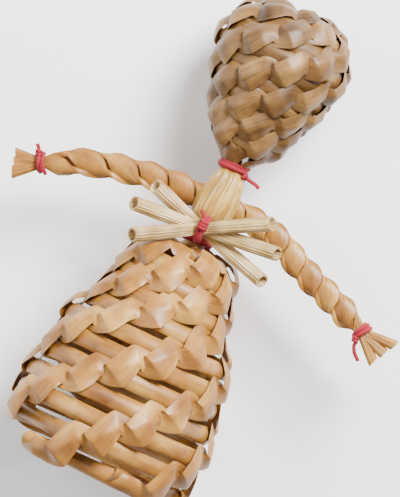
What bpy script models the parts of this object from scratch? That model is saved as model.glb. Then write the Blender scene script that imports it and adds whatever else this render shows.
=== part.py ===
"""A plaited straw doll, lying on its back.

The head, the bodice and the skirt are one set of seven straws: plaited in a spiral into a hollow head,
tied at the neck, spread over the chest, tied at the waist and plaited again into a hollow skirt.
A three-straw braid makes both arms, and three cut straws tied in their middle make the bow.

The doll is modelled upright in its own frame, with X to its side, Y from the hem up to the head and
Z out of its chest, and is laid on its back at the end. Lengths are in millimetres until then.
"""

import math

import bmesh
import bpy
from mathutils import Matrix, Vector

MM = 0.001

# Main sizes
SKIRT_HEIGHT = 65.4  # from the hem to the waist tie
BODICE_HEIGHT = 20.2  # from the waist tie to the neck tie
HEAD_HEIGHT = 41.7  # from the neck tie to the crown
SKIRT_RADIUS = 24.7  # of the wall that the side straws stand in, at its widest
HEAD_RADIUS = 15.5
ARM_HEIGHT = 10.3  # of the arms above the waist tie
CLEARANCE = 0.3  # gap kept between two pieces that touch on the real doll

# Straw
STRAW_DIAMETER = 3.6  # of a plaiting straw where it is still a tube
FOLD_WIDTH = 5.6  # width of the same straw pressed flat at a fold, half its girth
FOLD_THICKNESS = 1.0
FOLD_DEPTH = 1.6  # how far a fold stands out from the straws that run beside it
PLAIT_STRAWS = 7
CORNERS = PLAIT_STRAWS - 1  # a spiral plait has one corner fewer than straws
FOLD_SHIFT = 8.2  # how far round a fold lies from the fold above it
LEAST_FOLD_SHARE = 0.25  # size of a fold at the doll's axis, as a share of its full size
FULL_FOLD_RADIUS = 12.0  # that share grows by one whole for each of these lengths from the axis
WALL_START_LENGTH = 0.5  # the straws keep this far from the wall's upper end

# Threads
THREAD_THICKNESS = 0.9  # of the thread as it lies
TIE_TURNS = 3
TIE_STEPS = 14
THREAD_FLAT_SHARES = (0.2, 0.8)  # the pressed outside of a turn, as shares of its thickness
THREAD_PRESSED_SHARE = 0.9  # height of that outside
THREAD_GROOVE_SHARE = 0.6  # and of the groove between two turns
NECK_BUNDLE_RADIUS = 2.7  # of the seven straws under the neck tie
WAIST_BUNDLE_RADIUS = 2.9
BUNDLE_LENGTH = 1.8  # how far the straws stay bundled past the middle of a tie
BUNDLE_OVERLAP_SHARE = 1.08  # width of a bundled straw, as a share of its place in the ring
CORE_SHARE = 0.75  # the solid middle of a bundle, as a share of its radius
CORE_INSET = 0.2
TIE_HALF_HEIGHT = TIE_TURNS * THREAD_THICKNESS / 2

# Skirt: the wall that the side straws stand in, from the waist to the hem, as shares of the skirt's
# height and of its widest radius; it starts just under and outside the waist tie
SKIRT_WALL_SHARES = (
    (0.049, 0.348), (0.076, 0.445), (0.122, 0.506), (0.199, 0.555), (0.275, 0.615), (0.352, 0.688),
    (0.428, 0.822), (0.505, 0.883), (0.581, 0.899), (0.657, 0.923), (0.734, 0.992), (0.810, 1.0),
    (0.887, 0.968), (0.963, 0.923), (0.994, 0.907),
)
SKIRT_START_GAP = 0.45  # between the waist tie and the wall's upper end, downwards
SKIRT_START_WIDTH = 0.8  # and outwards
SKIRT_FOLDS = 60
SKIRT_FIRST_FOLD_HEIGHT = 4.2  # of the waist tie above the first fold
SKIRT_LAST_FOLD_HEIGHT = 6.1  # of the last fold above the hem
SKIRT_PITCH_GROWTH_SHARE = 0.3  # how much longer the last round of folds is than the first
SKIRT_LAST_ANGLE = -20.0  # where the last fold is, seen from the front
WAIST_TURN = 1.2  # how far round, in radians, a straw runs from the waist tie to its first fold
HEM_TURN = 1.6  # and how far round the hem it runs on after its last fold
LAST_HEM_TURN = 0.6  # the last straw's end, tucked inside the hem

# Head: the wall from the crown to the neck, as shares of the head's height and of its widest radius
HEAD_WALL_SHARES = (
    (1.0, 0.032), (0.993, 0.355), (0.964, 0.581), (0.911, 0.794), (0.825, 0.923), (0.763, 0.981),
    (0.705, 1.0), (0.643, 0.968), (0.583, 0.910), (0.465, 0.813), (0.345, 0.665), (0.225, 0.542),
    (0.142, 0.426), (0.072, 0.271), (0.019, 0.181),
)
HEAD_FOLDS = 52
HEAD_FIRST_FOLD_LENGTH = 6.0  # from the crown to the first fold, along the wall
HEAD_LAST_FOLD_LENGTH = 5.2  # from the last fold to the wall's lower end
HEAD_LAST_ANGLE = -40.0
NECK_TURN = 0.9  # how far round a straw runs from its last fold to the neck tie

# Bodice
BODICE_HALF_WIDTH = 4.7
BODICE_HALF_DEPTH = 5.3
BODICE_ANGLES = (26, -26, -48, -137, 180, 137, 48)  # where the straws pass the arms
BODICE_SWELL_SHARES = ((0.66, 0.93), (0.51, 1.0), (0.36, 0.93))  # shares of its height and of its spread
BODICE_SIDE_SHARE = 0.8  # how far the side straws turn to face sideways
BODICE_STRAW_WIDTH = 4.9

# Arms: the braid's middle line from the left wrist to the right one, across and up, as shares of the
# longer arm's reach
ARM_REACH = 47.0
ARM_LINE_SHARES = (
    (-0.926, -0.202), (-0.840, -0.160), (-0.691, -0.091), (-0.515, -0.043), (-0.294, -0.006),
    (-0.096, 0.0), (0.132, 0.0), (0.191, 0.004), (0.372, -0.028), (0.506, -0.089), (0.660, -0.155),
    (0.804, -0.206), (0.926, -0.255), (1.0, -0.287),
)
ARM_STRAWS = 3
ARM_SWING_WIDTH = 1.7  # how far a braided straw swings to each side
ARM_RISE_DEPTH = 0.75  # and how far it rises over the others
ARM_STRAW_WIDTH = 3.1
ARM_STRAW_THICKNESS = 1.2
ARM_TURNS = 4.25  # full swings of a straw along the braid
ARM_STEPS = 5  # cross-sections in each swing
GATHER_LENGTH = 5.0  # from a wrist tie to where the braid has its full width
WRIST_SWING_SHARE = 0.2  # swing of the straws at the wrist, as a share of the full swing
WRIST_WIDTH_SHARE = 0.5  # and their width
WRIST_ROOM_SHARE = 1.2  # half sizes of the wrist tie's round hole, as a share of the straws' in it
LEFT_HAND_LENGTHS = (-6.1, -2.9)  # from the wrist tie to the cut ends of the hand, across and up
LEFT_HAND_WIDTH = 7.2
RIGHT_HAND_LENGTHS = (7.6, -2.7)
RIGHT_HAND_WIDTH = 9.6
HAND_OVERLAP_SHARE = 1.15  # width of a straw's end, as a share of its place in the hand
HAND_STAGGER = 0.45  # how much further each straw of a hand reaches than the one below it
HAND_STRAW_THICKNESS = 2.2

# Bow: each straw's two ends (across, up, forward) from the middle of the bow
BOW_END_LENGTHS = (
    ((-15.0, -8.7, 3.6), (15.4, 8.6, 2.6)),
    ((-18.0, -1.4, 0.2), (19.7, 2.3, 0.2)),
    ((-15.0, 4.8, -2.0), (19.2, -5.4, -2.0)),
)
BOW_HEIGHT_SHARE = 0.149  # height of its middle above the waist tie, as a share of the bodice's height
BOW_STACK_DEPTH = 1.15  # from one pinched straw to the next, front to back
BOW_SPREAD_DEPTH = 1.25  # how much further apart the straws lie once they are past the knot
BOW_SPREAD_LENGTH = 2.4
BOW_WALL_THICKNESS = 0.45
BOW_PINCH_WIDTH = 2.6
BOW_PINCH_THICKNESS = 0.7
BOW_TURNS = 2
KNOT_WIDTH_SHARE = 1.1  # half height of the knot's hole, as a share of the pinched width
KNOT_DEPTH_SHARE = 1.6  # half depth of the knot's hole, as a share of the stack's
KNOT_GAP = 0.2  # between the knot and the waist tie, forward
BOW_OPENING_LENGTH = 10.0  # how far from the knot a bow straw is round again
BOW_RING_SHARES = (0.07, 0.24, 0.6, 1.0)  # cross-sections on the way from the knot to an end
BOW_BORE_DEPTH = 5.0  # how far the straw is hollow from its cut end
BOW_BORE_TAPER = 0.1
BOW_SIDES = 10

# Lying on its back
LEVELLING = 8  # rounds of levelling the skirt with the head
BACK_FLAT_DEPTH = 0.6  # how deep the back of the skirt and of the head are pressed flat

# Colours, linear, and finish
STRAW = (0.56, 0.34, 0.17, 1.0)
PALE_STRAW = (0.70, 0.52, 0.32, 1.0)
THREAD_RED = (0.48, 0.04, 0.07, 1.0)
STRAW_ROUGHNESS = 0.4
THREAD_ROUGHNESS = 0.8
SHARP_EDGE = 0.8

SIDES = 4  # of a plaited straw's cross-section


def smooth_curve(points, steps):
    """Points on a Catmull-Rom curve through the given points, with `steps` between each two."""
    points = [Vector(p) for p in points]
    ends = [2 * points[0] - points[1]] + points + [2 * points[-1] - points[-2]]
    curve = []
    for a, b, c, d in zip(ends, ends[1:], ends[2:], ends[3:]):
        for step in range(steps):
            t = step / steps
            curve.append(0.5 * (2 * b + (c - a) * t + (2 * a - 5 * b + 4 * c - d) * t**2
                                + (3 * b - a - 3 * c + d) * t**3))
    curve.append(points[-1])
    return curve


class Path:
    """A curve that is read by the distance along it."""

    def __init__(self, points, steps=6):
        self.points = smooth_curve(points, steps)
        self.distances = [0.0]
        for a, b in zip(self.points, self.points[1:]):
            self.distances.append(self.distances[-1] + (b - a).length)
        self.length = self.distances[-1]

    def at(self, distance):
        """The point and the direction at a distance, straight on past both ends."""
        index = 0
        for number in range(1, len(self.points) - 1):
            if self.distances[number] < distance:
                index = number
        a, b = self.points[index], self.points[index + 1]
        direction = (b - a).normalized()
        return a + direction * (distance - self.distances[index]), direction

    def distance_at_height(self, height):
        """The distance at which a wall that only goes down reaches a height."""
        for index, (a, b) in enumerate(zip(self.points, self.points[1:])):
            if b[0] <= height:
                return self.distances[index] + (a[0] - height) / (a[0] - b[0]) * (b - a).length
        return self.length


class Ring:
    """One cross-section of a straw: its middle, the way its width points, the way out, and half sizes."""

    def __init__(self, middle, across, out, half_width, half_depth):
        self.middle = middle
        self.across = across.normalized()
        self.out = out.normalized()
        self.half_width = half_width
        self.half_depth = half_depth


def straw_object(name, rings, sides=SIDES):
    """A closed straw through its rings."""
    mesh = bmesh.new()
    loops = []
    for ring in rings:
        corners = []
        for side in range(sides):
            turn = 2 * math.pi * (side + 0.5) / sides
            width = ring.half_width * math.cos(turn) / math.cos(math.pi / sides)
            depth = ring.half_depth * math.sin(turn) / math.cos(math.pi / sides)
            corners.append(mesh.verts.new(ring.middle + width * ring.across + depth * ring.out))
        loops.append(corners)
    for one, other in zip(loops, loops[1:]):
        for k in range(sides):
            n = (k + 1) % sides
            mesh.faces.new((one[k], one[n], other[n], other[k]))
    mesh.faces.new(loops[0])
    mesh.faces.new(loops[-1])
    bmesh.ops.recalc_face_normals(mesh, faces=mesh.faces)
    return mesh_object(name, mesh)


def mesh_object(name, mesh):
    data = bpy.data.meshes.new(name)
    mesh.to_mesh(data)
    mesh.free()
    made = bpy.data.objects.new(name, data)
    bpy.context.scene.collection.objects.link(made)
    return made


def join(name, pieces, operation="UNION"):
    """The first piece joined with, or cut by, all the others, as one mesh."""
    base = pieces[0]
    for piece in pieces[1:]:
        boolean = base.modifiers.new(piece.name, "BOOLEAN")
        boolean.operation = operation
        boolean.solver = "MANIFOLD"
        boolean.object = piece
    bpy.context.view_layer.update()
    graph = bpy.context.evaluated_depsgraph_get()
    data = bpy.data.meshes.new_from_object(base.evaluated_get(graph))
    for piece in pieces:
        bpy.data.objects.remove(piece)
    mesh = bmesh.new()
    mesh.from_mesh(data)
    bpy.data.meshes.remove(data)
    keep_outer_skin(mesh)
    return mesh_object(name, mesh)


def keep_outer_skin(mesh):
    """Leave only the biggest closed skin, which fills any pocket sealed inside it."""
    waiting = set(mesh.faces)
    skins = []
    while waiting:
        skin = [waiting.pop()]
        for face in skin:
            for edge in face.edges:
                for other in edge.link_faces:
                    if other in waiting:
                        waiting.remove(other)
                        skin.append(other)
        skins.append(skin)
    skins.sort(key=len)
    spare = [face for skin in skins[:-1] for face in skin]
    bmesh.ops.delete(mesh, geom=spare, context="FACES")


# Spiral plait

# A fold of the plait, in rounds down and in corner steps to the side from its middle: the straw comes
# in level from the right behind the fold above, opens flat over the corner, creases and leaves level.
# (side, down, lean of the width in degrees, share of the full width, share of tube depth, how far out)
FOLD_SHAPE = (
    (0.75, -0.58, 90, 0.60, 0.55, 0.0),
    (0.20, -0.44, 116, 1.00, 0.0, 0.85),
    (-0.18, 0.32, 150, 1.00, 0.0, 0.95),
    (-0.66, 0.587, 92, 0.62, 0.50, 0.0),
)


class Plait:
    """A spiral plait on a turned wall: each fold is one corner further round and a little lower."""

    def __init__(self, wall, distances, last_angle):
        self.wall = wall
        self.distances = distances
        self.angles = [math.radians(last_angle)]
        for distance in reversed(distances[:-1]):
            radius = wall.at(distance)[0][1] + FOLD_DEPTH
            self.angles.insert(0, self.angles[0] + (2 * math.pi + FOLD_SHIFT / radius) / CORNERS)

    def frame(self, angle, distance):
        """The wall's point there, and the directions right, up along the wall, and out of it."""
        point, down = self.wall.at(distance)
        around = Vector((math.sin(angle), 0, math.cos(angle)))
        right = Vector((math.cos(angle), 0, -math.sin(angle)))
        height, radius = point
        up = -(down[0] * Vector((0, 1, 0)) + down[1] * around)
        out = right.cross(up)
        return radius * around + Vector((0, height, 0)), right, up, out

    def fold_rings(self, j):
        """The straw's cross-sections through fold `j`."""
        distance = self.distances[j]
        near = min(j, len(self.distances) - 2)
        pitch = (self.distances[near + 1] - self.distances[near]) * CORNERS
        radius = self.wall.at(distance)[0][1]
        room = min(1.0, LEAST_FOLD_SHARE + radius / FULL_FOLD_RADIUS)
        rings = []
        for side, down, lean, width, tube, out in FOLD_SHAPE:
            point, right, up, outward = self.frame(
                self.angles[j] + side * room * FOLD_SHIFT / (radius + FOLD_DEPTH),
                max(distance + down * pitch, WALL_START_LENGTH),
            )
            lean = math.radians(lean)
            rings.append(Ring(
                point + out * FOLD_DEPTH * outward,
                math.cos(lean) * right + math.sin(lean) * up,
                outward,
                width * FOLD_WIDTH / 2 * room,
                (FOLD_THICKNESS + tube * (STRAW_DIAMETER - FOLD_THICKNESS)) / 2 * room,
            ))
        return rings

    def straws(self, name, start, end):
        """One closed mesh per straw; `start` and `end` give the rings before and after its folds."""
        made = []
        for straw in range(PLAIT_STRAWS):
            numbers = range(straw, len(self.distances), PLAIT_STRAWS)
            rings = start(self.angles[numbers[0]])
            for j in numbers:
                rings += self.fold_rings(j)
            rings += end(numbers[-1], self.angles[numbers[-1]], rings[-1])
            made.append(straw_object(f"{name}_{straw}", rings))
        return made


def around_the_axis(angle):
    return Vector((math.sin(angle), 0, math.cos(angle)))


def bundle_ring(angle, height, radius):
    """A straw's cross-section in a tied bundle of all the plaiting straws."""
    around = around_the_axis(angle)
    left = Vector((-around.z, 0, around.x))
    side = radius * math.sin(math.pi / PLAIT_STRAWS) * BUNDLE_OVERLAP_SHARE
    half = FOLD_THICKNESS / 2
    middle = math.sqrt(radius**2 - side**2) - half
    return Ring(Vector((0, height, 0)) + middle * around, left, around, side, half)


def bundle_core(name, height, end, radius):
    """The middle of a tied bundle, pressed solid by the thread."""
    up = Vector((0, 1, 0))
    side = Vector((1, 0, 0))
    return straw_object(name, [
        Ring(up * along, side, side.cross(up), radius * CORE_SHARE, radius * CORE_SHARE)
        for along in (height, end)
    ], sides=PLAIT_STRAWS)


def skirt_wall():
    """The skirt's wall, from just under the waist tie down to the hem."""
    start = (
        SKIRT_HEIGHT - TIE_HALF_HEIGHT - SKIRT_START_GAP,
        WAIST_BUNDLE_RADIUS + THREAD_THICKNESS + SKIRT_START_WIDTH,
    )
    wall = [(SKIRT_HEIGHT * (1 - down), SKIRT_RADIUS * out) for down, out in SKIRT_WALL_SHARES]
    return Path([start] + wall)


def skirt_distances(wall):
    """Where each fold lies on the wall: the rounds grow longer on the way down."""
    top = SKIRT_HEIGHT - SKIRT_FIRST_FOLD_HEIGHT
    fall = top - SKIRT_LAST_FOLD_HEIGHT
    distances = []
    for fold in range(SKIRT_FOLDS):
        share = fold / (SKIRT_FOLDS - 1)
        grown = (share + SKIRT_PITCH_GROWTH_SHARE * share**2 / 2) / (1 + SKIRT_PITCH_GROWTH_SHARE / 2)
        distances.append(wall.distance_at_height(top - fall * grown))
    return distances


def make_skirt():
    wall = skirt_wall()
    plait = Plait(wall, skirt_distances(wall), SKIRT_LAST_ANGLE)
    top = SKIRT_HEIGHT - CLEARANCE / 2
    bottom = top - BUNDLE_LENGTH

    def start(angle):
        return [bundle_ring(angle + WAIST_TURN, height, WAIST_BUNDLE_RADIUS) for height in (top, bottom)]

    def end(number, angle, ring):
        last = number == SKIRT_FOLDS - 1
        around = around_the_axis(angle - (LAST_HEM_TURN if last else HEM_TURN))
        radius = math.hypot(ring.middle.x, ring.middle.z) - (STRAW_DIAMETER / 2 if last else 0)
        height = Vector((0, ring.middle.y, 0))
        return [Ring(radius * around + height, ring.across, around, ring.half_width, ring.half_depth)]

    core = bundle_core("skirt_core", top - CORE_INSET, bottom - CORE_INSET, WAIST_BUNDLE_RADIUS)
    return join("plaited_skirt", [core] + plait.straws("skirt_straw", start, end))


def make_head():
    neck = SKIRT_HEIGHT + BODICE_HEIGHT
    wall = Path([(neck + HEAD_HEIGHT * up, HEAD_RADIUS * out) for up, out in HEAD_WALL_SHARES])
    span = wall.length - HEAD_FIRST_FOLD_LENGTH - HEAD_LAST_FOLD_LENGTH
    distances = [HEAD_FIRST_FOLD_LENGTH + span * fold / (HEAD_FOLDS - 1) for fold in range(HEAD_FOLDS)]
    plait = Plait(wall, distances, HEAD_LAST_ANGLE)
    bottom = neck + CLEARANCE / 2
    top = bottom + BUNDLE_LENGTH

    def start(angle):
        return []

    def end(number, angle, ring):
        return [bundle_ring(angle - NECK_TURN, height, NECK_BUNDLE_RADIUS) for height in (top, bottom)]

    core = bundle_core("head_core", bottom + CORE_INSET, top + 2 * CORE_INSET, NECK_BUNDLE_RADIUS)
    return join("plaited_head", [core] + plait.straws("head_straw", start, end))


def make_bodice():
    """Seven straws from the neck tie to the waist tie, spread in front of the arms and behind them."""
    top = SKIRT_HEIGHT + BODICE_HEIGHT - CLEARANCE / 2
    bottom = SKIRT_HEIGHT + CLEARANCE / 2
    made = []
    for number, spread in enumerate(BODICE_ANGLES):
        bundled = math.pi / PLAIT_STRAWS - number * 2 * math.pi / PLAIT_STRAWS
        angle = math.radians(spread)
        middle = Vector((BODICE_HALF_WIDTH * math.sin(angle), 0, BODICE_HALF_DEPTH * math.cos(angle)))
        out = Vector((math.sin(angle) * BODICE_SIDE_SHARE, 0, math.cos(angle)))
        left = Vector((-out.z, 0, out.x))
        rings = [bundle_ring(bundled, height, NECK_BUNDLE_RADIUS) for height in (top, top - BUNDLE_LENGTH)]
        for up, share in BODICE_SWELL_SHARES:
            height = Vector((0, SKIRT_HEIGHT + BODICE_HEIGHT * up, 0))
            rings.append(Ring(
                middle * share + height, left, out, BODICE_STRAW_WIDTH / 2 * share, FOLD_THICKNESS / 2,
            ))
        rings += [
            bundle_ring(bundled, height, WAIST_BUNDLE_RADIUS) for height in (bottom + BUNDLE_LENGTH, bottom)
        ]
        made.append(straw_object(f"bodice_straw_{number}", rings))
    made.append(bundle_core("neck_core", top - CORE_INSET, top - BUNDLE_LENGTH, NECK_BUNDLE_RADIUS))
    made.append(bundle_core("waist_core", bottom + CORE_INSET, bottom + BUNDLE_LENGTH, WAIST_BUNDLE_RADIUS))
    return join("bodice_straws", made)


def arm_line():
    shoulder = SKIRT_HEIGHT + ARM_HEIGHT
    return Path([(ARM_REACH * across, shoulder + ARM_REACH * up, 0) for across, up in ARM_LINE_SHARES])


def wrist_half_width():
    return ARM_SWING_WIDTH * WRIST_SWING_SHARE + ARM_STRAW_WIDTH * WRIST_WIDTH_SHARE / 2


def wrist_half_depth():
    return ARM_RISE_DEPTH * WRIST_SWING_SHARE + ARM_STRAW_THICKNESS / 2


def make_arms():
    """One braid of three straws for both arms, spread into a hand past each wrist tie."""
    line = arm_line()
    under_tie = TIE_HALF_HEIGHT + CLEARANCE
    braided = line.length - 2 * under_tie
    count = round(ARM_TURNS * ARM_STEPS)
    steepest = 2 * math.pi * ARM_TURNS * ARM_SWING_WIDTH / braided
    made = []
    for straw in range(ARM_STRAWS):
        rings = []
        for step in range(count + 1):
            share = step / count
            point, along = line.at(under_tie + braided * share)
            side = Vector((-along.y, along.x, 0))
            swing = 2 * math.pi * (ARM_TURNS * share + straw / ARM_STRAWS)
            open_share = min(1.0, braided * min(share, 1 - share) / GATHER_LENGTH)
            swing_share = WRIST_SWING_SHARE + (1 - WRIST_SWING_SHARE) * open_share
            width_share = WRIST_WIDTH_SHARE + (1 - WRIST_WIDTH_SHARE) * open_share
            sway = ARM_SWING_WIDTH * swing_share * math.sin(swing)
            rise = ARM_RISE_DEPTH * swing_share * math.sin(2 * swing)
            slope = steepest * swing_share * math.cos(swing)
            rings.append(Ring(
                point + sway * side + Vector((0, 0, rise)),
                side - slope * along, Vector((0, 0, 1)),
                ARM_STRAW_WIDTH / 2 * width_share, ARM_STRAW_THICKNESS / 2,
            ))
        spread = (ARM_STRAWS - 1) / 2 - straw
        left = hand_rings(
            line.at(0.0), -2 * under_tie, LEFT_HAND_LENGTHS, LEFT_HAND_WIDTH, spread, rings[0],
        )
        right = hand_rings(
            line.at(line.length), 2 * under_tie, RIGHT_HAND_LENGTHS, RIGHT_HAND_WIDTH, spread, rings[-1],
        )
        made.append(straw_object(f"arm_straw_{straw}", left[::-1] + rings + right))
    return join("arm_braid", made)


def hand_rings(wrist, reach, lengths, width, spread, last):
    """An arm straw from the far side of the wrist tie to its cut end in the hand."""
    point, direction = wrist
    along = Vector((*lengths, 0))
    side = Vector((-along.y, along.x, 0)).normalized()
    longer = spread * HAND_STAGGER * along.normalized()
    place = point + along + longer + spread * width / ARM_STRAWS * side
    if side.dot(last.across) < 0:
        side = -side
    return [
        Ring(last.middle + reach * direction, last.across, last.out, last.half_width, last.half_depth),
        Ring(
            place + Vector((0, 0, spread * ARM_STRAW_THICKNESS / 2)), side, last.out,
            width / ARM_STRAWS / 2 * HAND_OVERLAP_SHARE, HAND_STRAW_THICKNESS / 2,
        ),
    ]


def bow_middle():
    """The middle of the bow, in front of the waist tie and of the bodice."""
    knot_depth = (BOW_STACK_DEPTH + BOW_PINCH_THICKNESS / 2) * KNOT_DEPTH_SHARE + THREAD_THICKNESS
    front = max(WAIST_BUNDLE_RADIUS + CLEARANCE + THREAD_THICKNESS, BODICE_HALF_DEPTH - BUNDLE_LENGTH / 2)
    return Vector((0, SKIRT_HEIGHT + BODICE_HEIGHT * BOW_HEIGHT_SHARE, front + knot_depth + KNOT_GAP))


def bow_rings(end, place):
    """The cross-sections of half a bow straw, from the knot to the cut end."""
    direction = math.copysign(1, end.x)
    flat = Vector((end.x, end.y, 0))
    across = Vector((-flat.y, flat.x, 0)) * direction
    rings = []
    for share in BOW_RING_SHARES:
        opened = min(1.0, share * end.length / BOW_OPENING_LENGTH)
        past = max(0.0, share * end.length - BOW_TURNS * THREAD_THICKNESS)
        spread = place * BOW_SPREAD_DEPTH * min(1.0, past / BOW_SPREAD_LENGTH)
        rise = spread + (end.z - place * (BOW_SPREAD_DEPTH + BOW_STACK_DEPTH)) * share**2
        width = BOW_PINCH_WIDTH + (STRAW_DIAMETER - BOW_PINCH_WIDTH) * opened
        depth = BOW_PINCH_THICKNESS + (STRAW_DIAMETER - BOW_PINCH_THICKNESS) * opened
        middle = bow_middle() + flat * share + Vector((0, 0, place * BOW_STACK_DEPTH + rise))
        rings.append(Ring(middle, across, Vector((0, 0, 1)), width / 2, depth / 2))
    return rings


def make_bow():
    """Three cut straws, round and open at both ends, pinched flat where the thread ties them."""
    bore_radius = STRAW_DIAMETER / 2 - BOW_WALL_THICKNESS
    bore_ends = ((-BOW_WALL_THICKNESS, bore_radius), (BOW_BORE_DEPTH, bore_radius - BOW_BORE_TAPER))
    for number, ends in enumerate(BOW_END_LENGTHS):
        place = 1 - number
        one, other = (bow_rings(Vector(end), place) for end in ends)
        straw = straw_object(f"bow_straw_{number + 1}", one[::-1] + other, sides=BOW_SIDES)
        for half in (one, other):
            end = half[-1]
            inward = (half[0].middle - end.middle).normalized()
            bore = straw_object("bore", [
                Ring(end.middle + inward * depth, end.across, end.out, radius, radius)
                for depth, radius in bore_ends
            ], sides=BOW_SIDES)
            straw = join(f"bow_straw_{number + 1}", [straw, bore], "DIFFERENCE")


def make_tie(name, centre, axis, across, inner_across, inner_out, turns):
    """Turns of thread round a bundle: a ring with one round bulge for each turn."""
    axis = Vector(axis).normalized()
    across = Vector(across).normalized()
    out = axis.cross(across)
    centre = Vector(centre)
    half = turns * THREAD_THICKNESS / 2
    profile = [(half, 0.0)]
    for turn in range(turns):
        start = half - turn * THREAD_THICKNESS
        for share in THREAD_FLAT_SHARES:
            profile.append((start - THREAD_THICKNESS * share, THREAD_THICKNESS * THREAD_PRESSED_SHARE))
        if turn < turns - 1:
            profile.append((start - THREAD_THICKNESS, THREAD_THICKNESS * THREAD_GROOVE_SHARE))
    profile.append((-half, 0.0))
    mesh = bmesh.new()
    loops = []
    for step in range(TIE_STEPS):
        turn = 2 * math.pi * step / TIE_STEPS
        loops.append([
            mesh.verts.new(
                centre + axis * along
                + across * (inner_across + thick) * math.cos(turn)
                + out * (inner_out + thick) * math.sin(turn)
            )
            for along, thick in profile
        ])
    size = len(profile)
    for step, loop in enumerate(loops):
        following = loops[(step + 1) % TIE_STEPS]
        for k in range(size):
            n = (k + 1) % size
            mesh.faces.new((loop[k], loop[n], following[n], following[k]))
    bmesh.ops.recalc_face_normals(mesh, faces=mesh.faces)
    return mesh_object(name, mesh)


def make_ties():
    upright = (0, 1, 0)
    side = (1, 0, 0)
    neck = NECK_BUNDLE_RADIUS + CLEARANCE
    waist = WAIST_BUNDLE_RADIUS + CLEARANCE
    make_tie("neck_tie", (0, SKIRT_HEIGHT + BODICE_HEIGHT, 0), upright, side, neck, neck, TIE_TURNS)
    make_tie("waist_tie", (0, SKIRT_HEIGHT, 0), upright, side, waist, waist, TIE_TURNS)
    make_tie(
        "bow_tie", bow_middle(), side, upright, BOW_PINCH_WIDTH * KNOT_WIDTH_SHARE,
        (BOW_STACK_DEPTH + BOW_PINCH_THICKNESS / 2) * KNOT_DEPTH_SHARE, BOW_TURNS,
    )
    line = arm_line()
    for name, wrist in (("left_wrist_tie", line.at(0.0)), ("right_wrist_tie", line.at(line.length))):
        point, along = wrist
        make_tie(
            name, point, along, Vector((0, 0, 1)).cross(along),
            wrist_half_width() * WRIST_ROOM_SHARE + CLEARANCE,
            wrist_half_depth() * WRIST_ROOM_SHARE + CLEARANCE, TIE_TURNS,
        )


def paint(pieces):
    """Give each piece its own material."""
    for name, piece in pieces.items():
        thread = name.endswith("tie")
        pale = name.startswith("bow") or name.startswith("bodice")
        material = bpy.data.materials.new(name)
        material.use_nodes = True
        shader = material.node_tree.nodes["Principled BSDF"]
        shader.inputs["Base Color"].default_value = THREAD_RED if thread else PALE_STRAW if pale else STRAW
        shader.inputs["Roughness"].default_value = THREAD_ROUGHNESS if thread else STRAW_ROUGHNESS
        piece.data.materials.clear()
        piece.data.materials.append(material)
        if thread or name.startswith("bow"):
            piece.data.polygons.foreach_set("use_smooth", [True] * len(piece.data.polygons))
            piece.data.set_sharp_from_angle(angle=SHARP_EDGE)


def clear_scene():
    for old in list(bpy.data.objects):
        bpy.data.objects.remove(old)


def lowest(piece):
    return min((vertex.co for vertex in piece.data.vertices), key=lambda co: co.z)


def lay_down(pieces):
    """Lay the doll on its back, so that the skirt and the head touch the ground, pressed flat there."""
    skirt = pieces["plaited_skirt"]
    head = pieces["plaited_head"]
    for _ in range(LEVELLING):
        one = lowest(skirt)
        other = lowest(head)
        level = Matrix.Rotation(math.atan2(one.z - other.z, other.y - one.y), 4, "X")
        for piece in pieces.values():
            piece.data.transform(level)
    ground = lowest(skirt).z + BACK_FLAT_DEPTH
    corners = [vertex.co for piece in pieces.values() for vertex in piece.data.vertices]
    middle = [(min(co[k] for co in corners) + max(co[k] for co in corners)) / 2 for k in range(2)]
    for piece in pieces.values():
        piece.data.transform(Matrix.Translation((-middle[0], -middle[1], -ground)))
    size = 2 * (SKIRT_HEIGHT + BODICE_HEIGHT + HEAD_HEIGHT)
    for piece in (skirt, head):
        name = piece.name
        mesh = bmesh.new()
        bmesh.ops.create_cube(mesh, size=size, matrix=Matrix.Translation((0, 0, -size / 2)))
        pieces[name] = join(name, [piece, mesh_object("ground", mesh)], "DIFFERENCE")


def main():
    clear_scene()
    make_skirt()
    make_head()
    make_bodice()
    make_arms()
    make_bow()
    make_ties()
    pieces = {piece.name: piece for piece in bpy.data.objects}
    lay_down(pieces)
    for piece in pieces.values():
        piece.data.transform(Matrix.Scale(MM, 4))
    paint(pieces)


main()
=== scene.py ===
import math

import bmesh
import bpy
from mathutils import Matrix, Vector


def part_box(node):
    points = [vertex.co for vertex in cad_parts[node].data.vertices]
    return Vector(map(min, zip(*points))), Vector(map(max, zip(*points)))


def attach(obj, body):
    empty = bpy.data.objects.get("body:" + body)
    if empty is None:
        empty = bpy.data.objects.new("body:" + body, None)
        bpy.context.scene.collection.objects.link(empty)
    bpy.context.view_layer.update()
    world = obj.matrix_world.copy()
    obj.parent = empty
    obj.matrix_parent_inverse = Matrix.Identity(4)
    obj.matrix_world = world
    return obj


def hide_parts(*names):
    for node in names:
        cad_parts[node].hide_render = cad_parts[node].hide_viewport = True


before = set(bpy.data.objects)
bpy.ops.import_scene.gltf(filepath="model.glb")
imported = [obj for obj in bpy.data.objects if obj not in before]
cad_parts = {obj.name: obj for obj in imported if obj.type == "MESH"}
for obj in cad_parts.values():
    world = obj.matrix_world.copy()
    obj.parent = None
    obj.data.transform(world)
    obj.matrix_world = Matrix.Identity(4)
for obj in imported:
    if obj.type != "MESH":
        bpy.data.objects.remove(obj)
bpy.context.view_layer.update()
print("frame loaded")

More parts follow.
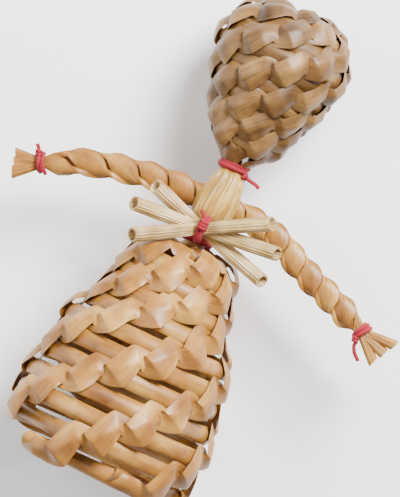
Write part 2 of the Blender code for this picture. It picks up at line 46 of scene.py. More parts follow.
# The doll is made upright in its own frame, in millimetres: X to its side, Y from the hem to the crown,
# Z out of its chest. dollPlace lays it on its back where the frame's doll lies. Left and right are as seen
# from the front.
mm = 0.001
straw = {
    "count": 7,  # the plaiting straws, one more than the plait's corners
    "tube": 3.6,  # outer diameter while it is still round
    "foldWidth": 5.6,  # pressed flat at a fold, half its girth
    "foldThickness": 0.7,
    "wall": 0.4,
    "boreDepth": 2.4,  # how far a cut end is hollow
    "sides": 28,
    "ringGap": 0.8,  # between two cross-sections of the finished surface
    "thinEdge": 0.35,  # how much sharper than an ellipse a pressed straw's edge is
    "thinFrom": 1.4,  # how soon a straw that is pressed gets that edge
    "sharpEdge": 42,  # degrees between faces, above which an edge isn't shaded smooth
    "stainStep": 137.0,  # each straw takes its tone and stains this far along the pattern
    "leastSize": 0.01,  # no width, and no span between two cross-sections, is read as less than these
    "leastSpan": 0.05,
    "mergeWithin": 0.001,  # points of the wrapped sheet nearer than this are one
}
heights = {"waist": 65.4, "arms": 75.7, "neck": 85.6}
bundles = {  # the seven straws where a thread gathers them
    "neck": 2.7,  # radius
    "waist": 2.9,
    "length": 1.9,  # how far they run level with each other past the waist tie's middle
    "overlap": 1.15,  # width over a straw's share of the way round
    "thickness": 1.1,
    "neckShift": 0.6,  # the neck tie sits this far to the right
}


def nodeMiddle(name):
    low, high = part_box(name)
    return (Vector(low) + Vector(high)) / 2


def dollPlace():  # read from the two ties that sit on the doll's axis
    waist = nodeMiddle("waist_tie")
    neck = nodeMiddle("neck_tie")
    rise = neck - waist
    turn = Matrix.Rotation(math.atan2(rise.z, rise.y), 4, "X")
    shift = waist - turn @ Vector((0, heights["waist"] * mm, 0))
    return Matrix.Translation(shift) @ turn @ Matrix.Scale(mm, 4)


place = dollPlace()
restDepth = 0.0014  # in metres: how much of the doll's back gives way to the floor


# Materials

def linear(hexColour):  # sRGB to linear
    values = [int(hexColour[i:i + 2], 16) / 255 for i in (1, 3, 5)]
    return [v / 12.92 if v <= 0.04045 else ((v + 0.055) / 1.055) ** 2.4 for v in values] + [1.0]


def addNode(tree, kind, settings=None, inputs=None, links=None):
    node = tree.nodes.new(kind)
    for key, value in (settings or {}).items():
        setattr(node, key, value)
    for key, value in (inputs or {}).items():
        node.inputs[key].default_value = value
    for key, source in (links or {}).items():
        tree.links.new(source, node.inputs[key])
    return node


def addRamp(tree, source, stops):
    node = addNode(tree, "ShaderNodeValToRGB", links={"Fac": source})
    ramp = node.color_ramp
    while len(ramp.elements) < len(stops):
        ramp.elements.new(0.5)
    for element, (at, colour) in zip(ramp.elements, stops):
        element.position = at
        element.color = linear(colour)
    return node.outputs[0]


def addNoise(tree, uv, scale, detail, roughness, offset=(0, 0, 0)):
    spot = addNode(tree, "ShaderNodeMapping", inputs={"Scale": scale, "Location": offset},
                   links={"Vector": uv})
    noise = addNode(tree, "ShaderNodeTexNoise",
                    inputs={"Scale": 1.0, "Detail": detail, "Roughness": roughness},
                    links={"Vector": spot.outputs[0]})
    return noise.outputs[0]


def addMix(tree, blend, share, one, other):
    node = addNode(tree, "ShaderNodeMix", {"data_type": "RGBA", "blend_type": blend})
    for socket, value in ((0, share), (6, one), (7, other)):  # 6 and 7 are its two colours
        if isinstance(value, (float, list)):
            node.inputs[socket].default_value = value
        else:
            tree.links.new(value, node.inputs[socket])
    return node.outputs[2]


# A pattern's scale: how often it repeats in one girth of the straw, and in a millimetre along it.
strawSkin = {
    "tone": {"scale": (1.3, 0.07, 1), "detail": 3.0, "roughness": 0.6},  # changes over about 14 mm of straw
    "toneStops": (0.28, 0.5, 0.72),
    "fibreRate": 0.05,  # a fibre runs on for 20 mm
    "fibre": {"detail": 2.0, "roughness": 0.6},
    "fibreStart": 0.32,
    "fibreStops": ((0.5, "#ececec"), (0.72, "#ffffff")),
    "fibreRelief": 0.00012,  # in metres
    # a stain is about 4 mm wide and 6 mm long
    "stain": {"scale": (3.0, 0.16, 1), "detail": 4.0, "roughness": 0.65, "offset": (5, 9, 0)},
    "stainStops": ((0.57, "#000000"), (0.74, "#9a9a9a")),
    "glowRadius": (0.0012, 0.0007, 0.0003),  # in metres: red light goes deepest into the straw
}


def strawMaterial(name, look):
    # Dried wheat straw: a waxy, satin skin over fine lengthwise fibres. Its tone drifts from fold to fold,
    # the fibres show as fine darker lines, and the weather has left brown stains a few millimetres long.
    material = bpy.data.materials.new(name)
    material.use_nodes = True
    tree = material.node_tree
    shader = tree.nodes["Principled BSDF"]
    uv = addNode(tree, "ShaderNodeUVMap", {"uv_map": "alongStraw"}).outputs[0]
    tone = addNoise(tree, uv, **strawSkin["tone"])
    tones = addRamp(tree, tone, list(zip(strawSkin["toneStops"], look["tones"])))
    # fibres lie about 0.25 mm apart on the real straw: 44 round an 11 mm girth
    fibre = addNoise(tree, uv, (look["fibres"], strawSkin["fibreRate"], 1), **strawSkin["fibre"])
    fibres = addRamp(tree, fibre, [(strawSkin["fibreStart"], look["fibre"]), *strawSkin["fibreStops"]])
    grained = addMix(tree, "MULTIPLY", look["grain"], tones, fibres)
    spot = addNoise(tree, uv, **strawSkin["stain"])
    spots = addRamp(tree, spot, strawSkin["stainStops"])
    stained = addMix(tree, "MIX", spots, grained, linear(look["stain"]))
    tree.links.new(stained, shader.inputs["Base Color"])
    bump = addNode(tree, "ShaderNodeBump",
                   inputs={"Strength": look["bump"], "Distance": strawSkin["fibreRelief"]},
                   links={"Height": fibre})
    tree.links.new(bump.outputs[0], shader.inputs["Normal"])
    shader.inputs["Roughness"].default_value = look["roughness"]
    shader.inputs["Specular IOR Level"].default_value = look["gloss"]
    shader.inputs["Subsurface Weight"].default_value = look["glow"]
    shader.inputs["Subsurface Radius"].default_value = strawSkin["glowRadius"]
    shader.inputs["Subsurface Scale"].default_value = 1.0
    return material


threadSkin = {
    "twist": 2,  # turns of the spun twist in a millimetre of thread
    # from painted shade in the twist's grooves to painted highlight on its crowns
    "tones": ((0.0, "#7a0016"), (0.5, "#92001e"), (1.0, "#a60024")),
    "relief": 0.0001,  # in metres
    "bump": 0.2,
    "roughness": 0.85,
    "sheen": 0.05,
}


def threadMaterial():
    # Red cotton thread, spun: matt. Its red is painted darker in the grooves of its twist and paler on its
    # crowns, a painted shade and painted highlight laid over the twist's bump.
    material = bpy.data.materials.new("redCottonThread")
    material.use_nodes = True
    tree = material.node_tree
    shader = tree.nodes["Principled BSDF"]
    uv = addNode(tree, "ShaderNodeUVMap", {"uv_map": "alongStraw"}).outputs[0]
    split = addNode(tree, "ShaderNodeSeparateXYZ", links={0: uv})
    added = addNode(tree, "ShaderNodeMath", {"operation": "ADD"},
                    links={0: split.outputs[0], 1: split.outputs[1]})
    full = addNode(tree, "ShaderNodeMath", {"operation": "MULTIPLY"},
                   {1: 2 * math.pi * threadSkin["twist"]}, {0: added.outputs[0]})
    wave = addNode(tree, "ShaderNodeMath", {"operation": "SINE"}, links={0: full.outputs[0]})
    # painted shade and highlight: the red follows the twist, darker in its grooves and paler on its crowns
    colour = addRamp(tree, wave.outputs[0], threadSkin["tones"])
    tree.links.new(colour, shader.inputs["Base Color"])
    bump = addNode(tree, "ShaderNodeBump",
                   inputs={"Strength": threadSkin["bump"], "Distance": threadSkin["relief"]},
                   links={"Height": wave.outputs[0]})
    tree.links.new(bump.outputs[0], shader.inputs["Normal"])
    shader.inputs["Roughness"].default_value = threadSkin["roughness"]
    shader.inputs["Sheen Weight"].default_value = threadSkin["sheen"]
    return material


# The skirt and the arms: plaited while damp, so smooth and satin.
ripeStraw = strawMaterial("ripeWheatStraw", {
    "tones": ("#6e4219", "#9c6a2c", "#c2944a"), "fibre": "#8a8a8a", "grain": 0.38, "fibres": 44,
    "stain": "#74441f", "bump": 0.3, "roughness": 0.4, "gloss": 0.36, "glow": 0.0,
})
# The head: the same straw, browner and duller.
darkStraw = strawMaterial("weatheredWheatStraw", {
    "tones": ("#442c11", "#714f29", "#9b7542"), "fibre": "#7a7a7a", "grain": 0.55, "fibres": 40,
    "stain": "#5a3417", "bump": 0.4, "roughness": 0.42, "gloss": 0.32, "glow": 0.0,
})
# The bodice: the pale upper straw, pulled tight, with a waxy shine along its ribs.
goldenStraw = strawMaterial("goldenWheatStraw", {
    "tones": ("#86602a", "#aa8030", "#ceaa58"), "fibre": "#585858", "grain": 0.7, "fibres": 30,
    "stain": "#a67c48", "bump": 0.4, "roughness": 0.32, "gloss": 0.45, "glow": 0.15,
})
# The bow: the palest straw, with strong ribs, thin enough to glow a little at its cut ends.
paleStraw = strawMaterial("paleWheatStraw", {
    "tones": ("#8c6c3c", "#bc9a5e", "#dcc490"), "fibre": "#4c4c4c", "grain": 0.85, "fibres": 30,
    "stain": "#b08e5e", "bump": 0.5, "roughness": 0.34, "gloss": 0.45, "glow": 0.2,
})
redThread = threadMaterial()
print("materials made")


# Straws

class Ring:  # a cross-section: middle, where its width points, the way out, two sizes, and its crease
    def __init__(self, middle, across, out, width, depth, crest=0.0, crestAt=0.0):
        self.middle = Vector(middle)
        self.across = Vector(across).normalized()
        self.out = Vector(out).normalized()
        self.width = width
        self.depth = depth
        self.crest = crest
        self.crestAt = crestAt

    def parts(self):
        return self.middle, self.across, self.out, self.width, self.depth, self.crest, self.crestAt


def spline(values, steps):  # a smooth run through the values, which may be numbers or vectors
    padded = [values[0] * 2 - values[1]] + list(values) + [values[-1] * 2 - values[-2]]
    run = []
    for a, b, c, d in zip(padded, padded[1:], padded[2:], padded[3:]):
        for step in range(steps):
            t = step / steps
            run.append((b * 2 + (c - a) * t + (a * 2 - b * 5 + c * 4 - d) * t * t
                        + (b * 3 - a - c * 3 + d) * t * t * t) * 0.5)
    run.append(values[-1])
    return run


def smoothRun(values, spans, counts, softness):  # the same for values that lie unequal spans apart
    slopes = [(values[1] - values[0]) * (softness / spans[0])]
    for i in range(1, len(values) - 1):
        before, after = spans[i - 1], spans[i]
        slopes.append(((values[i] - values[i - 1]) * (after / before)
                       + (values[i + 1] - values[i]) * (before / after)) * (softness / (before + after)))
    slopes.append((values[-1] - values[-2]) * (softness / spans[-1]))
    run = []
    for i, (span, count) in enumerate(zip(spans, counts)):
        for step in range(count):
            t = step / count
            run.append(values[i] * (2 * t**3 - 3 * t**2 + 1) + slopes[i] * (span * (t**3 - 2 * t**2 + t))
                       + values[i + 1] * (3 * t**2 - 2 * t**3) + slopes[i + 1] * (span * (t**3 - t**2)))
    run.append(values[-1])
    return run


def fineRings(rings, gap, softness):
    spans = [max((b.middle - a.middle).length, straw["leastSpan"]) for a, b in zip(rings, rings[1:])]
    counts = [max(1, math.ceil(span / gap)) for span in spans]
    return [Ring(*values) for values in zip(*(
        smoothRun(values, spans, counts, softness) for values in zip(*(ring.parts() for ring in rings))))]


def sectionPoint(ring, turn, flutes, fluteDepth):  # the skin's point there, and its share of the girth
    base = math.cos(turn)
    rise = math.sin(turn)
    spot = ring.crestAt + base * (1 - ring.crestAt if base > 0 else 1 + ring.crestAt)
    pressed = 1 - ring.depth / max(ring.width, straw["leastSize"])
    flat = max(0.0, min(1.0, straw["thinFrom"] * pressed))
    lens = max(0.0, 1 - spot**2) ** (0.5 + straw["thinEdge"] * flat)
    point = (ring.middle + ring.across * (ring.width / 2 * spot)
             + ring.out * (ring.depth / 2 * math.copysign(lens, rise) + ring.crest * (1 - abs(base))))
    if flutes:
        skin = ring.across * (base / ring.width) + ring.out * (rise / ring.depth)
        point += skin.normalized() * (fluteDepth * math.cos(flutes * turn))
    return point, (1 - spot) / 4 if turn <= math.pi else (3 + spot) / 4


def wrapStraw(name, rings, node, material, gap=None, sides=None, uvStart=0.0,
              openEnds=(False, False), flutes=0, fluteDepth=0.0, softness=1.0):
    sides = sides or straw["sides"]
    fine = fineRings(rings, gap or straw["ringGap"], softness)
    along = [uvStart]
    for one, other in zip(fine, fine[1:]):
        along.append(along[-1] + (other.middle - one.middle).length)
    sheet = bmesh.new()
    uvLayer = sheet.loops.layers.uv.new("alongStraw")
    rows = len(fine) - 1
    bmesh.ops.create_grid(sheet, x_segments=sides, y_segments=rows, size=0.5)
    girth = {}
    for v in sheet.verts:  # the flat sheet is wrapped round the straw's path
        row = round((v.co.y + 0.5) * rows)
        turn = 2 * math.pi * round((v.co.x + 0.5) * sides) / sides
        v.co, share = sectionPoint(fine[row], turn, flutes, fluteDepth)
        girth[v] = (share, along[row])
    for face in sheet.faces:
        for corner in face.loops:
            corner[uvLayer].uv = girth[corner.vert]
    bmesh.ops.remove_doubles(sheet, verts=sheet.verts, dist=straw["mergeWithin"])
    rims = [e for e in sheet.edges if e.is_boundary]
    caps = bmesh.ops.holes_fill(sheet, edges=rims, sides=0)["faces"]
    bmesh.ops.recalc_face_normals(sheet, faces=sheet.faces)
    for cap in caps:
        middle = cap.calc_center_median()
        first = (middle - fine[0].middle).length < (middle - fine[-1].middle).length
        if openEnds[0 if first else 1]:  # a cut end is hollow
            rim, inner = (fine[0], fine[2]) if first else (fine[-1], fine[-3])
            inward = inner.middle - rim.middle
            bmesh.ops.inset_region(sheet, faces=[cap], thickness=straw["wall"], use_even_offset=True)
            hole = bmesh.ops.extrude_face_region(sheet, geom=[cap])
            moved = [v for v in hole["geom"] if isinstance(v, bmesh.types.BMVert)]
            bmesh.ops.translate(sheet, verts=moved, vec=inward.normalized() * straw["boreDepth"])
            bmesh.ops.delete(sheet, geom=[cap], context="FACES_ONLY")
    bmesh.ops.triangulate(sheet, faces=[f for f in sheet.faces if len(f.verts) > 4])
    finishPiece(name, sheet, node, material)


def finishPiece(name, mesh, node, material):
    bmesh.ops.transform(mesh, matrix=place, verts=mesh.verts)
    for v in mesh.verts:  # its weight presses the doll's back flat
        if v.co.z < restDepth:
            v.co.z = restDepth * math.exp(v.co.z / restDepth - 1)
    data = bpy.data.meshes.new(name)
    mesh.to_mesh(data)
    mesh.free()
    data.polygons.foreach_set("use_smooth", [True] * len(data.polygons))
    data.set_sharp_from_angle(angle=math.radians(straw["sharpEdge"]))
    piece = bpy.data.objects.new(name, data)
    bpy.context.scene.collection.objects.link(piece)
    data.materials.append(material)
    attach(piece, "root")
    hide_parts(node)


# Spiral plait

fold = {
    "shift": 8.2,  # how far round a fold lies from the one above it
    "out": 1.6,  # how far it stands out from the straws beside it
    "crest": 0.7,  # height of the crease that runs over it
    "softness": 0.4,  # 0 would fold the straw in straight facets
    "leastRoom": 0.25,  # share of its full size that a fold would have on the doll's axis
    "roomRadius": 12.0,  # the share grows by one in this much radius, up to full size
    "topGap": 0.5,  # no straw comes nearer than this to the top of its wall
}

# A fold. The pressed straw comes in level from the right, under the fold above; its crisp corner turns it
# down to the left, over the corner of the plait, and a second corner turns it level again, under the
# fold below: (to the side in fold shifts, down in rounds, lean of the width, width, roundness, how far
# out, height of the crease, the crease's place over the width)
foldShapes = {
    "skirt": [
        (1.22, -0.585, 90, 0.85, 0.48, 0.00, 0.00, -0.30),
        (0.76, -0.585, 91, 0.96, 0.15, 0.05, 0.20, -0.60),
        (0.30, -0.640, 130, 1.12, 0.00, 0.62, 0.90, -0.60),
        (0.11, -0.090, 153, 1.24, 0.00, 1.02, 1.00, 0.00),
        (-0.07, 0.500, 153, 1.34, 0.00, 1.18, 0.90, 0.60),
        (-0.36, 0.600, 122, 0.96, 0.05, 0.25, 0.40, 0.60),
        (-0.66, 0.587, 93, 0.85, 0.25, 0.00, 0.10, 0.40),
        (-1.00, 0.587, 90, 0.85, 0.48, 0.00, 0.00, 0.30),
    ],
    "head": [
        (1.22, -0.585, 90, 0.85, 0.48, 0.00, 0.00, -0.30),
        (0.80, -0.585, 91, 0.94, 0.20, 0.05, 0.20, -0.50),
        (0.38, -0.620, 120, 1.06, 0.10, 0.60, 0.80, -0.40),
        (0.13, -0.110, 139, 1.14, 0.15, 1.02, 1.10, 0.00),
        (-0.14, 0.440, 139, 1.20, 0.10, 1.12, 0.90, 0.40),
        (-0.44, 0.600, 114, 0.94, 0.10, 0.25, 0.40, 0.50),
        (-0.72, 0.587, 93, 0.85, 0.30, 0.00, 0.10, 0.40),
        (-1.05, 0.587, 90, 0.85, 0.48, 0.00, 0.00, 0.30),
    ],
}


class Wall:  # the turned wall that the side straws stand in, read by the distance down it
    def __init__(self, points, steps=6):
        self.points = spline([Vector(p) for p in points], steps)
        self.distances = [0.0]
        for a, b in zip(self.points, self.points[1:]):
            self.distances.append(self.distances[-1] + (b - a).length)

    def at(self, distance):
        index = 0
        while index < len(self.points) - 2 and self.distances[index + 1] < distance:
            index += 1
        a, b = self.points[index], self.points[index + 1]
        down = (b - a).normalized()
        return a + down * (distance - self.distances[index]), down

    def distanceAtHeight(self, height):
        for index, (a, b) in enumerate(zip(self.points, self.points[1:])):
            if b[0] <= height:
                return self.distances[index] + (a[0] - height) / (a[0] - b[0]) * (b - a).length
        return self.distances[-1]


def plaitAngles(wall, distances, lastAngle):
    angles = [math.radians(lastAngle)]
    for distance in reversed(distances[:-1]):
        radius = wall.at(distance)[0][1] + fold["out"]
        angles.insert(0, angles[0] + (2 * math.pi + fold["shift"] / radius) / (straw["count"] - 1))
    return angles


def wallFrame(wall, angle, distance):
    point, down = wall.at(distance)
    around = Vector((math.sin(angle), 0, math.cos(angle)))
    right = Vector((math.cos(angle), 0, -math.sin(angle)))
    up = -(down[0] * Vector((0, 1, 0)) + down[1] * around)
    return point[1] * around + Vector((0, point[0], 0)), right, up, right.cross(up)


def foldRings(shape, wall, distances, angles, j):
    near = min(j, len(distances) - 2)
    pitch = (distances[near + 1] - distances[near]) * (straw["count"] - 1)
    radius = wall.at(distances[j])[0][1]
    room = min(1.0, fold["leastRoom"] + radius / fold["roomRadius"])
    rings = []
    for side, down, lean, width, roundness, out, crest, crestAt in shape:
        angle = angles[j] + side * room * fold["shift"] / (radius + fold["out"])
        point, right, up, outward = wallFrame(wall, angle, max(distances[j] + down * pitch, fold["topGap"]))
        lean = math.radians(lean)
        depth = straw["foldThickness"] + roundness * (straw["tube"] - straw["foldThickness"])
        rings.append(Ring(point + outward * out * fold["out"],
                          math.cos(lean) * right + math.sin(lean) * up, outward,
                          width * straw["foldWidth"] * room, depth * room,
                          crest * fold["crest"] * room, crestAt))
    return rings


def bundleRing(angle, height, radius, shift=0.0):
    around = Vector((math.sin(angle), 0, math.cos(angle)))
    left = Vector((-math.cos(angle), 0, math.sin(angle)))
    width = 2 * radius * math.sin(math.pi / straw["count"]) * bundles["overlap"]
    middle = around * (radius - bundles["thickness"] / 2) + Vector((shift, height, 0))
    return Ring(middle, left, around, width, bundles["thickness"])


skirt = {
    # height and radius, read down the doll
    "wall": ((63.6, 4.6), (62.2, 8.6), (60.4, 11.0), (57.4, 12.5), (52.4, 13.7), (47.4, 15.2), (42.4, 17.0),
             (37.4, 20.3), (32.4, 21.8), (27.4, 22.2), (22.4, 22.8), (17.4, 24.5), (12.4, 24.7), (7.4, 23.9),
             (2.4, 22.8), (0.4, 22.4)),
    "folds": 60,
    "topFold": 61.2,  # height of the first fold
    "pitch": 4.87,  # from one round to the next
    "pitchGrowth": 0.15,  # and how much that grows with each round
    "lastAngle": -20.0,  # where the last fold lies, in degrees from the front
    "waistTurn": 1.2,  # from a straw's place in the waist tie to its first fold, in radians
    "hemReach": 1.6,  # from its last fold to its cut end, in radians round the hem
    "lastReach": 0.6,  # the same for the straw that folds last
    "lastTuck": 1.8,  # how far inside the wall that one ends
    "endDepth": 0.8,  # depth of a cut end over its width
    "stainFrom": 0,
}


def makeSkirt():
    wall = Wall(skirt["wall"])
    corners = straw["count"] - 1
    distances = [wall.distanceAtHeight(skirt["topFold"] - skirt["pitch"] * j / corners
                                       - skirt["pitchGrowth"] * (j / corners) ** 2 / 2)
                 for j in range(skirt["folds"])]
    angles = plaitAngles(wall, distances, skirt["lastAngle"])
    for number in range(straw["count"]):
        folds = range(number, skirt["folds"], straw["count"])
        angle = angles[folds[0]] + skirt["waistTurn"]
        rings = [bundleRing(angle, heights["waist"], bundles["waist"]),
                 bundleRing(angle, heights["waist"] - bundles["length"], bundles["waist"])]
        for j in folds:
            rings += foldRings(foldShapes["skirt"], wall, distances, angles, j)
        last = rings[-1]
        finalFold = folds[-1] == skirt["folds"] - 1
        reach = skirt["lastReach"] if finalFold else skirt["hemReach"]
        radius = math.hypot(last.middle.x, last.middle.z) - (skirt["lastTuck"] if finalFold else 0)
        turn = angles[folds[-1]] - reach
        around = Vector((math.sin(turn), 0, math.cos(turn)))
        rings.append(Ring(around * radius + Vector((0, last.middle.y, 0)), last.across, around,
                          straw["tube"], straw["tube"] * skirt["endDepth"]))
        wrapStraw(f"skirtStraw{number + 1}", rings, "plaited_skirt", ripeStraw,
                  uvStart=skirt["stainFrom"] + number * straw["stainStep"], openEnds=(False, True),
                  softness=fold["softness"])
    print("skirt plaited")


head = {
    "wall": ((127.3, 0.5), (127.0, 5.5), (125.8, 9.0), (123.6, 12.3), (120.0, 14.3), (117.4, 15.2),
             (115.0, 15.5), (112.4, 15.0), (109.9, 14.1), (105.0, 12.6), (100.0, 10.3), (95.0, 8.4),
             (91.5, 6.6), (88.6, 4.2), (86.4, 2.8)),
    "folds": 52,
    "firstFold": 6.0,  # from the crown's middle, down the wall
    "pitch": 4.6,
    "lastAngle": -40.0,
    "neckRings": ((0.45, 4.6, 6.9, 5.0), (0.75, 2.4, 4.7, 4.2)),  # turn, height, radius, width of a straw
    "neckCrest": 0.4,
    "neckTurn": 0.9,  # from a straw's last fold to its place in the neck tie, in radians
    "stainFrom": 1000,
}


def makeHead():
    wall = Wall(head["wall"])
    distances = [head["firstFold"] + head["pitch"] * j / (straw["count"] - 1) for j in range(head["folds"])]
    angles = plaitAngles(wall, distances, head["lastAngle"])
    for number in range(straw["count"]):
        rings = []
        folds = range(number, head["folds"], straw["count"])
        for j in folds:
            rings += foldRings(foldShapes["head"], wall, distances, angles, j)
        for turn, up, radius, width in head["neckRings"]:
            ring = bundleRing(angles[folds[-1]] - turn, heights["neck"] + up, radius, bundles["neckShift"])
            ring.width = width
            ring.crest = head["neckCrest"]
            rings.append(ring)
        rings.append(bundleRing(angles[folds[-1]] - head["neckTurn"], heights["neck"], bundles["neck"],
                                bundles["neckShift"]))
        wrapStraw(f"headStraw{number + 1}", rings, "plaited_head", darkStraw,
                  uvStart=head["stainFrom"] + number * straw["stainStep"], softness=fold["softness"])
    print("head plaited")


bodice = {
    "angles": (26, -26, -48, -137, 180, 137, 48),  # where each straw passes the arms, from the front
    "halfWidth": 4.7,
    "halfDepth": 5.0,
    "swell": ((7.6, 0.66), (3.6, 0.88), (0, 1.0), (-3.4, 0.93)),  # height over the arms, share of the spread
    "low": 10.3,  # how far under the arms the neck tie's shift has worn off
    "width": 4.9,
    "thickness": 1.0,
    "roundness": 0.8,  # of the way the straws face: 1 would be a full circle
    "crest": 0.6,  # a straw bulges this far along its middle
    "flutes": 12,
    "fluteDepth": 0.09,
    "sides": 48,
    "stainFrom": 2000,
}


def makeBodice():
    for number, spread in enumerate(bodice["angles"]):
        bundled = math.pi / straw["count"] - number * 2 * math.pi / straw["count"]
        angle = math.radians(spread)
        middle = Vector((bodice["halfWidth"] * math.sin(angle), 0, bodice["halfDepth"] * math.cos(angle)))
        out = Vector((math.sin(angle) * bodice["roundness"], 0, math.cos(angle)))
        left = Vector((-out.z, 0, out.x))
        rings = [bundleRing(bundled, heights["neck"], bundles["neck"], bundles["neckShift"])]
        for rise, share in bodice["swell"]:
            shift = bundles["neckShift"] * max(0.0, rise + bodice["low"]) / bodice["low"]
            rings.append(Ring(Vector((middle.x * share + shift, heights["arms"] + rise, middle.z * share)),
                              left, out, bodice["width"] * share, bodice["thickness"], bodice["crest"]))
        rings.append(bundleRing(bundled, heights["waist"] + bundles["length"], bundles["waist"]))
        rings.append(bundleRing(bundled, heights["waist"], bundles["waist"]))
        wrapStraw(f"bodiceStraw{number + 1}", rings, "bodice_straws", goldenStraw,
                  sides=bodice["sides"], uvStart=bodice["stainFrom"] + number * straw["stainStep"],
                  flutes=bodice["flutes"], fluteDepth=bodice["fluteDepth"])
    print("bodice laid")


arms = {
    # across and up, from the left wrist to the right one
    "line": ((-43.52, 66.21), (-39.48, 68.18), (-32.48, 71.42), (-24.21, 73.68), (-13.82, 75.42),
             (-4.51, 75.7), (6.20, 75.7), (8.98, 75.89), (17.48, 74.38), (23.78, 71.52), (31.02, 68.42),
             (37.79, 66.02), (43.52, 63.72), (47.0, 62.21)),
    "straws": 3,
    "swing": 2.0,  # how far a twisted straw's middle swings to each side
    "rise": 0.75,  # and to the front and the back
    "width": 6.0,
    "edgeWidth": 0.34,  # share of that width where a straw goes round the side
    "roll": 0.22,  # each straw's lower edge dips under the next, in radians
    "thickness": 1.8,
    "rush": 0.28,  # a straw crosses the front faster than the back
    "turns": 4.25,
    "tightening": 1.2,  # the twist is looser at the left hand
    "steps": 22,  # cross-sections in one turn
    "gather": 4.0,  # from a wrist to where the twist has its full width
    "wristSwing": 0.36,  # shares of the swing, width and thickness that are left in a wrist tie
    "wristWidth": 0.5,
    "wristDepth": 0.9,
    "underTie": 1.65,  # half of what a wrist tie covers
    "flutes": 16,
    "fluteDepth": 0.07,
    "sides": 36,
    "stainFrom": 3000,
}
hands = {
    "left": {"end": (-6.1, -2.9), "spacing": 2.3, "strawWidth": 3.1},  # end: from the wrist, across and up
    "right": {"end": (7.6, -2.7), "spacing": 3.4, "strawWidth": 2.8},
    "stagger": 0.45,  # how far one straw's end lies past its neighbour's
    "rings": (0.0, 0.4, 0.75, 1.0),  # shares of the way from the tie to the cut end
    "wristSpacing": 0.9,  # from one straw to the next, in the tie
    "wristWidth": 2.2,
    "wristDepth": 1.7,
    "depth": 2.3,  # of a cut end
    "flare": 0.8,  # under 1, so the straws open soon after the tie
    "lift": 0.45,  # from one cut end up to the next
}


def handRings(wrist, reach, hand, spread):
    point, direction = wrist
    along = Vector((*hand["end"], 0))
    side = Vector((-along.y, along.x, 0)).normalized()
    end = (point + along + along.normalized() * spread * hands["stagger"]
           + side * (spread * hand["spacing"]))
    start = point + direction * reach + side * (spread * hands["wristSpacing"])
    rings = []
    for share in hands["rings"]:
        opened = share ** hands["flare"]
        rings.append(Ring(start.lerp(end, share) + Vector((0, 0, spread * hands["lift"] * share)),
                          side, Vector((0, 0, 1)),
                          hands["wristWidth"] + (hand["strawWidth"] - hands["wristWidth"]) * opened,
                          hands["wristDepth"] + (hands["depth"] - hands["wristDepth"]) * opened))
    return rings


def makeArms():
    line = Wall([(*p, 0) for p in arms["line"]])
    wrists = line.at(0.0), line.at(line.distances[-1])
    braided = line.distances[-1] - 2 * arms["underTie"]
    count = round(arms["turns"] * arms["steps"])
    steepest = 2 * math.pi * arms["turns"] * arms["swing"] / braided
    for number in range(arms["straws"]):
        rings = []
        for step in range(count + 1):
            share = step / count
            point, along = line.at(arms["underTie"] + braided * share)
            side = Vector((-along.y, along.x, 0))
            swing = -2 * math.pi * (arms["turns"] * share ** arms["tightening"] + number / arms["straws"])
            rush = 1 + arms["rush"] * math.cos(swing)
            swing += arms["rush"] * math.sin(swing)
            opened = min(1.0, braided * min(share, 1 - share) / arms["gather"])
            swings = arms["wristSwing"] + (1 - arms["wristSwing"]) * opened
            slope = -steepest * swings * math.cos(swing) * rush
            front = math.cos(swing)
            facing = side * math.sin(swing) * arms["rise"] + Vector((0, 0, front * arms["swing"]))
            facing = Matrix.Rotation(arms["roll"] * opened, 3, along) @ facing.normalized()
            run = along + side * slope
            wide = arms["edgeWidth"] + (1 - arms["edgeWidth"]) * abs(front)
            rings.append(Ring(
                point + side * (arms["swing"] * swings * math.sin(swing))
                + Vector((0, 0, arms["rise"] * swings * front)),
                facing.cross(run), facing,
                arms["width"] * wide * (arms["wristWidth"] + (1 - arms["wristWidth"]) * opened),
                arms["thickness"] * (arms["wristDepth"] + (1 - arms["wristDepth"]) * opened)))
        spread = (arms["straws"] - 1) / 2 - number
        reach = arms["underTie"]
        left = handRings(wrists[0], -reach, hands["left"], spread)
        right = handRings(wrists[1], reach, hands["right"], -spread)
        wrapStraw(f"armStraw{number + 1}", left[::-1] + rings + right, "arm_braid", ripeStraw,
                  sides=arms["sides"], uvStart=arms["stainFrom"] + number * straw["stainStep"],
                  openEnds=(True, True), flutes=arms["flutes"], fluteDepth=arms["fluteDepth"])
    print("arms braided")


bow = {
    "ends": (((-15.0, 59.71, 11.5), (15.4, 77.01, 10.5)),
             ((-18.0, 67.01, 8.1), (19.7, 70.71, 8.1)),
             ((-15.0, 73.21, 5.9), (19.2, 63.01, 5.9))),
    "middle": (0.0, 68.41, 7.9),
    "stack": 1.15,  # from one straw to the next, where they are pinched
    "lift": 1.25,  # how much further apart they lie beside the knot
    "liftLength": 2.4,
    "pinchWidth": 2.6,
    "pinch": 0.7,
    "opening": 10.0,  # from the knot to where a straw is round again
    "rings": (0.07, 0.15, 0.24, 0.4, 0.6, 0.8, 1.0),  # shares of the way to an end
    "knotBand": 1.8,  # how far from the middle the knot holds the straws together
    "slant": 0.6,  # how far a cut end leans back, for each millimetre up
    "flutes": 15,
    "fluteDepth": 0.08,
    "sides": 90,
    "ringGap": 0.6,
    "stainFrom": 4000,
}


